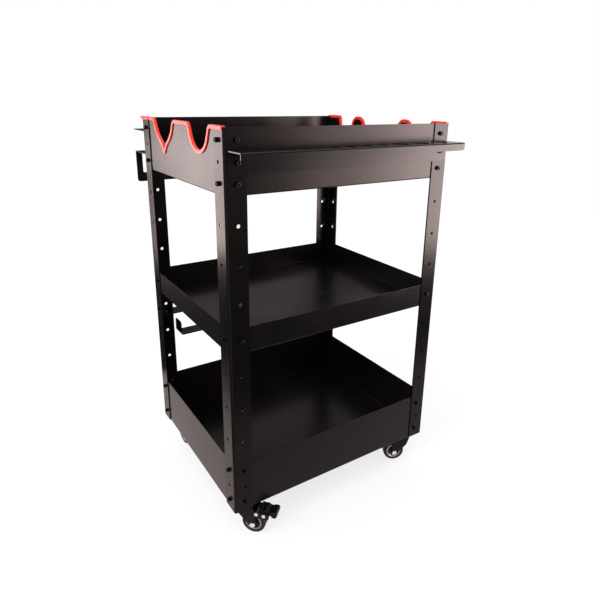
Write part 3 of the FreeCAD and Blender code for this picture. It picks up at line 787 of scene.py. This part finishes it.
# %% Caster steel
for corner in CORNERS:
    caster = "caster_" + corner
    # Part, slot, material and how far each edge is rounded, in metres.
    for part, slot, material, radius in (
        ("plate", "caster_plate", caster_coat, 0.0003),
        ("race", "zinc", zinc, 0.0005),
        ("kingpin", "zinc", zinc, 0.0004),
        ("fork", "caster_steel", caster_coat, 0.0004),
        ("axle", "zinc", zinc, 0.0004),
        ("axle_nut", "zinc", zinc, 0.0004),
    ):
        home = frame["nodes"][caster + "_" + part]["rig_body"]
        dressed(caster + "_" + part, part + "_of_" + corner, home, material, radius)
    if caster + "_pedal" in frame["nodes"]:
        name = "rivets_of_" + corner
        dressed(caster + "_rivets", name, "fork_" + corner, zinc, 0.0006)
        name, lever = "pedal_of_" + corner, "pedal_" + corner
        dressed(caster + "_pedal", name, lever, pedal_nylon, 0.0012, 3)
        print("brake pedal on", lever)

# %% [markdown]
# ## White that adds no light
# A white surround has to glow a little to stay white, but a glow also lights the cart from
# below and behind.  A shader can tell rays apart, so a surface can glow to the camera and
# in mirrors, and be an ordinary pale surface to the light that bounces between things.

# %% Shaders that know who looks
WHITE = (1.0, 1.0, 1.0)
SCATTERED = 0.32   # what glowing paint scatters, and so can lose in a shadow
GLOW = 0.76        # what it gives by itself


def white_where_seen(tree, unseen, seen):
    """Mixes two shaders.  Camera, glossy and transmission rays get the second one."""
    path = tree.nodes.new("ShaderNodeLightPath")
    factor = path.outputs["Is Camera Ray"]
    for kind in ("Is Glossy Ray", "Is Transmission Ray"):
        either = add_node(tree, "ShaderNodeMath")
        either.operation = "MAXIMUM"
        tree.links.new(factor, either.inputs[0])
        tree.links.new(path.outputs[kind], either.inputs[1])
        factor = either.outputs[0]
    mix = add_node(tree, "ShaderNodeMixShader", Fac=factor)
    tree.links.new(unseen.outputs[0], mix.inputs[1])
    tree.links.new(seen.outputs[0], mix.inputs[2])
    return mix


def blank(owner, output_kind):
    """Starts a material or a world with nothing but its output."""
    owner.use_nodes = True
    tree = owner.node_tree
    tree.nodes.clear()
    output = tree.nodes.new(output_kind)
    return tree, output.inputs["Surface"]


def glowing_paint(tree, tint):
    """Paint that glows and scatters the rest, so it is pale and still keeps a shadow."""
    scatter = [SCATTERED * channel for channel in tint]
    shaded = add_node(tree, "ShaderNodeBsdfDiffuse", Color=(*scatter, 1.0))
    glow = add_node(tree, "ShaderNodeEmission", Color=(*tint, 1.0), Strength=GLOW)
    both = tree.nodes.new("ShaderNodeAddShader")
    tree.links.new(shaded.outputs[0], both.inputs[0])
    tree.links.new(glow.outputs[0], both.inputs[1])
    return both


print("glowing paint gives", GLOW, "by itself and", SCATTERED, "of the light on it")

# %% [markdown]
# ## Floor
# The cart stands on a plain white floor in a white room.  To rays that see or mirror it the
# floor glows and scatters a little, which leaves it white with a soft shadow under the
# trays.  To light that bounces on, it is an ordinary pale floor, so its glow puts no extra
# light on the cart.

# %% Floor
FLOOR_RADIUS = 8.0
PALE = 0.82        # what the floor gives back to light that bounces on

floor_white = bpy.data.materials.new("floor_white")
tree, surface = blank(floor_white, "ShaderNodeOutputMaterial")
plain = add_node(tree, "ShaderNodeBsdfDiffuse", Color=(PALE, PALE, PALE, 1.0))
look = white_where_seen(tree, plain, glowing_paint(tree, WHITE))
tree.links.new(look.outputs[0], surface)

work = bmesh.new()
bmesh.ops.create_circle(work, cap_ends=True, segments=96, radius=FLOOR_RADIUS)
floor = bpy.data.objects.new("floor", mesh_from(work, "floor"))
floor.data.materials.append(floor_white)
bpy.context.scene.collection.objects.link(floor)
print("floor reaches", round(floor.dimensions.x / 2, 1), "m out from the cart")

# %% [markdown]
# ## Cloth and paper to mirror
# A glossy black coat is drawn by what it mirrors, and in a room that is white all round it
# would look grey all over.  Studios put black cards, called flags, where the coat would
# mirror bright floor or wall, and pale cards where it should stay grey.  The flags get a
# dull cloth with a faint weave.  The pale ones glow like the floor but slightly warm, which
# takes the cold out of the grey.

# %% Cloth and paper
def paper(name, tint):
    """A material for a pale card."""
    material = bpy.data.materials.new(name)
    tree, surface = blank(material, "ShaderNodeOutputMaterial")
    paint = glowing_paint(tree, tint)
    tree.links.new(paint.outputs[0], surface)
    return material


flag_cloth, tree, shader, place = new_material(
    "flag_cloth", Roughness=1.0, Specular_IOR_Level=0.0
)
weave = add_node(tree, "ShaderNodeTexNoise", Vector=place, Scale=400.0)
tone = blended(tree, weave.outputs["Fac"], (0.02, 0.02, 0.02), (0.04, 0.04, 0.04))
tree.links.new(tone, shader.inputs["Base Color"])
warm_paper = paper("warm_paper", (1.0, 0.81, 0.81))
tan_paper = paper("tan_paper", (0.80, 0.67, 0.67))
print("cards are made of", [made.name for made in (flag_cloth, warm_paper, tan_paper)])

# %% [markdown]
# ## Cards in their places
# Three flags lie a little away from the cart: what is low on the cart mirrors the pale
# strip in between, what is higher mirrors a flag, and the coat runs from grey to black the
# way it does between two lights.  Two more stand behind the cart and darken what it
# mirrors of the wall.  Two pale cards cover the strip, and one stands behind the cart,
# where the tray floors mirror it.  No card is seen by itself, and none throws a shadow.

# %% Cards
ABOVE_FLOOR = 0.0005   # keeps a lying card clear of the floor


def card(name, corners, material):
    """A card, flat or upright, that is only ever seen mirrored in the coat."""
    work = bmesh.new()
    work.faces.new([work.verts.new(corner) for corner in corners])
    sheet = bpy.data.objects.new(name, mesh_from(work, name))
    sheet.data.materials.append(material)
    sheet.visible_camera = False
    sheet.visible_diffuse = False
    sheet.visible_shadow = False
    bpy.context.scene.collection.objects.link(sheet)
    return sheet


def lying(name, material, *corners):
    return card(name, [(x, y, ABOVE_FLOOR) for x, y in corners], material)


def upright(name, material, y, x_low, x_high, bottom, top):
    ends = [(x_low, bottom), (x_high, bottom), (x_high, top), (x_low, top)]
    return card(name, [(x, y, z) for x, z in ends], material)


def oblong(x_low, x_high, y_low, y_high):
    return (x_low, y_low), (x_high, y_low), (x_high, y_high), (x_low, y_high)


ahead = (-0.2, -0.62), (1.4, -7.0), (3.0, -7.0), (3.0, -0.62)
cards = [
    lying("front_flag", flag_cloth, *ahead),
    lying("left_flag", flag_cloth, *oblong(-3.0, -0.46, -0.6, 6.0)),
    lying("left_rear_flag", flag_cloth, *oblong(-0.46, -0.05, 0.52, 6.0)),
    upright("back_flag", flag_cloth, 2.4, -1.2, 2.2, 0.6, 1.42),
    upright("back_right_flag", flag_cloth, 2.4, 1.65, 2.8, 1.42, 1.75),
    upright("back_card", tan_paper, 2.5, -1.2, 3.2, 1.42, 2.8),
    lying("front_card", warm_paper, *oblong(-0.46, 1.2, -0.62, -0.28)),
    lying("left_card", warm_paper, *oblong(-0.46, -0.26, -0.28, 0.52)),
]
print("cards:", [sheet.name for sheet in cards])

# %% [markdown]
# ## The room
# One even background stands for the walls and ceiling.  It is plain white to rays that see
# or mirror it and a little darker to light that falls on the cart, so the backdrop can be
# white without flattening the red trim.

# %% World
ROOM_LIGHT = 0.78
world = bpy.data.worlds.new("white_room")
bpy.context.scene.world = world
tree, surface = blank(world, "ShaderNodeOutputWorld")
room = add_node(tree, "ShaderNodeBackground", Color=(*WHITE, 1.0), Strength=ROOM_LIGHT)
seen = add_node(tree, "ShaderNodeBackground", Color=(*WHITE, 1.0), Strength=1.0)
look = white_where_seen(tree, room, seen)
tree.links.new(look.outputs[0], surface)
print("the room lights the cart with", ROOM_LIGHT, "of white")

# %% [markdown]
# ## Lamps
# Four warm soft boxes are there to be mirrored: one for the left walls, two for the right
# part of the front, one for what looks back and right.  They light nothing, so their
# brightness sets the sheen of the coat alone.  A key lamp, high on the left, and a weak one
# overhead give the red trim its form and the floor its shadow.

# %% Lamps
WARM = (1.0, 0.82, 0.80)
DAY = (1.0, 0.98, 0.96)


def soft_box(name, place, aim, width, height, radiance, tint):
    """A rectangular lamp of a given radiance, hidden from the camera."""
    lamp = bpy.data.lights.new(name, "AREA")
    lamp.shape = "RECTANGLE"
    lamp.size = width
    lamp.size_y = height
    lamp.energy = radiance * math.pi * width * height
    lamp.color = tint
    box = bpy.data.objects.new(name, lamp)
    box.location = place
    box.rotation_euler = (Vector(aim) - Vector(place)).to_track_quat("-Z", "Y").to_euler()
    box.visible_camera = False
    bpy.context.scene.collection.objects.link(box)
    return box


# Name, place, what it faces, width, height and radiance of the boxes that are mirrored only.
MIRRORED = (
    ("left_soft_box", (-1.11, 1.38, 0.47), (-0.25, 0.0, 0.47), 0.75, 0.80, 7.2),
    ("right_soft_box", (1.52, -1.28, 0.57), (0.2, -0.2, 0.57), 0.85, 0.96, 26.0),
    ("right_fill", (1.00, -1.66, 0.60), (0.0, -0.2, 0.60), 0.30, 0.96, 13.0),
    ("back_soft_box", (1.45, 1.45, 0.40), (0.1, 0.0, 0.40), 1.0, 0.60, 8.0),
)
for settings in MIRRORED:
    soft_box(*settings, WARM).visible_diffuse = False
key = soft_box("key", (-2.2, -0.6, 1.7), (0.0, 0.0, 0.6), 1.4, 1.4, 4.5, DAY)
key.visible_glossy = False
soft_box("overhead", (0.0, -0.2, 2.4), (0.0, 0.0, 0.4), 1.8, 1.8, 0.5, WHITE)
print("lamps:", sorted(lamp.name for lamp in bpy.data.lights))
